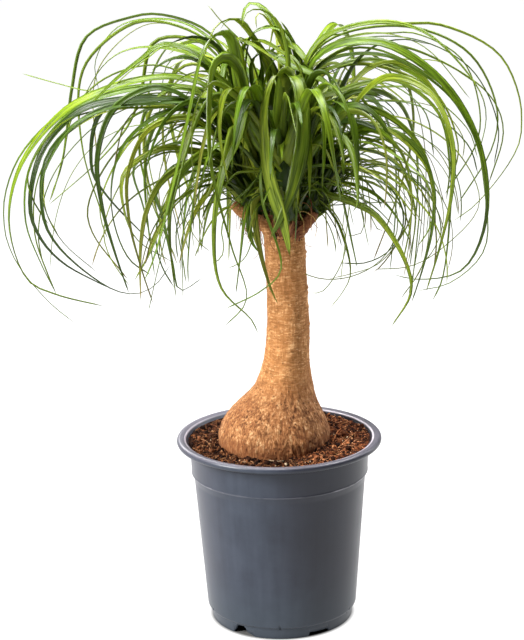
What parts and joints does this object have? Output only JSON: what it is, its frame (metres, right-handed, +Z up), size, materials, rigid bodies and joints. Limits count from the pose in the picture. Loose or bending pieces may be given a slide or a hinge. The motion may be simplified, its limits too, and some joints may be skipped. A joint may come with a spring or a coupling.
{
  "type": "potted ponytail palm",
  "caption": "House plant with a swollen bark-covered trunk and a fountain of long arching leaves, standing in soil in a round plastic nursery pot.",
  "frame": {"origin": "centre of the bounding box at floor level, under the pot", "axes": "+Z up, the front of the plant faces -Y"},
  "size_m": [0.5124, 0.378, 0.6332],
  "materials": {
    "pot_plastic": "satin moulded grey plastic",
    "potting_soil": "loose moist peat and coir",
    "bark": "rough tan bark with leaf scars",
    "leaf": "satin green blades with fine parallel veins"
  },
  "bodies": {
    "root": {"pot": "pot_plastic", "soil": "potting_soil", "trunk": "bark", "leaf_head_left": "leaf", "leaf_head_right": "leaf", "leaf_head_front": "leaf", "leaf_head_back": "leaf"}
  },
  "joints": []
}
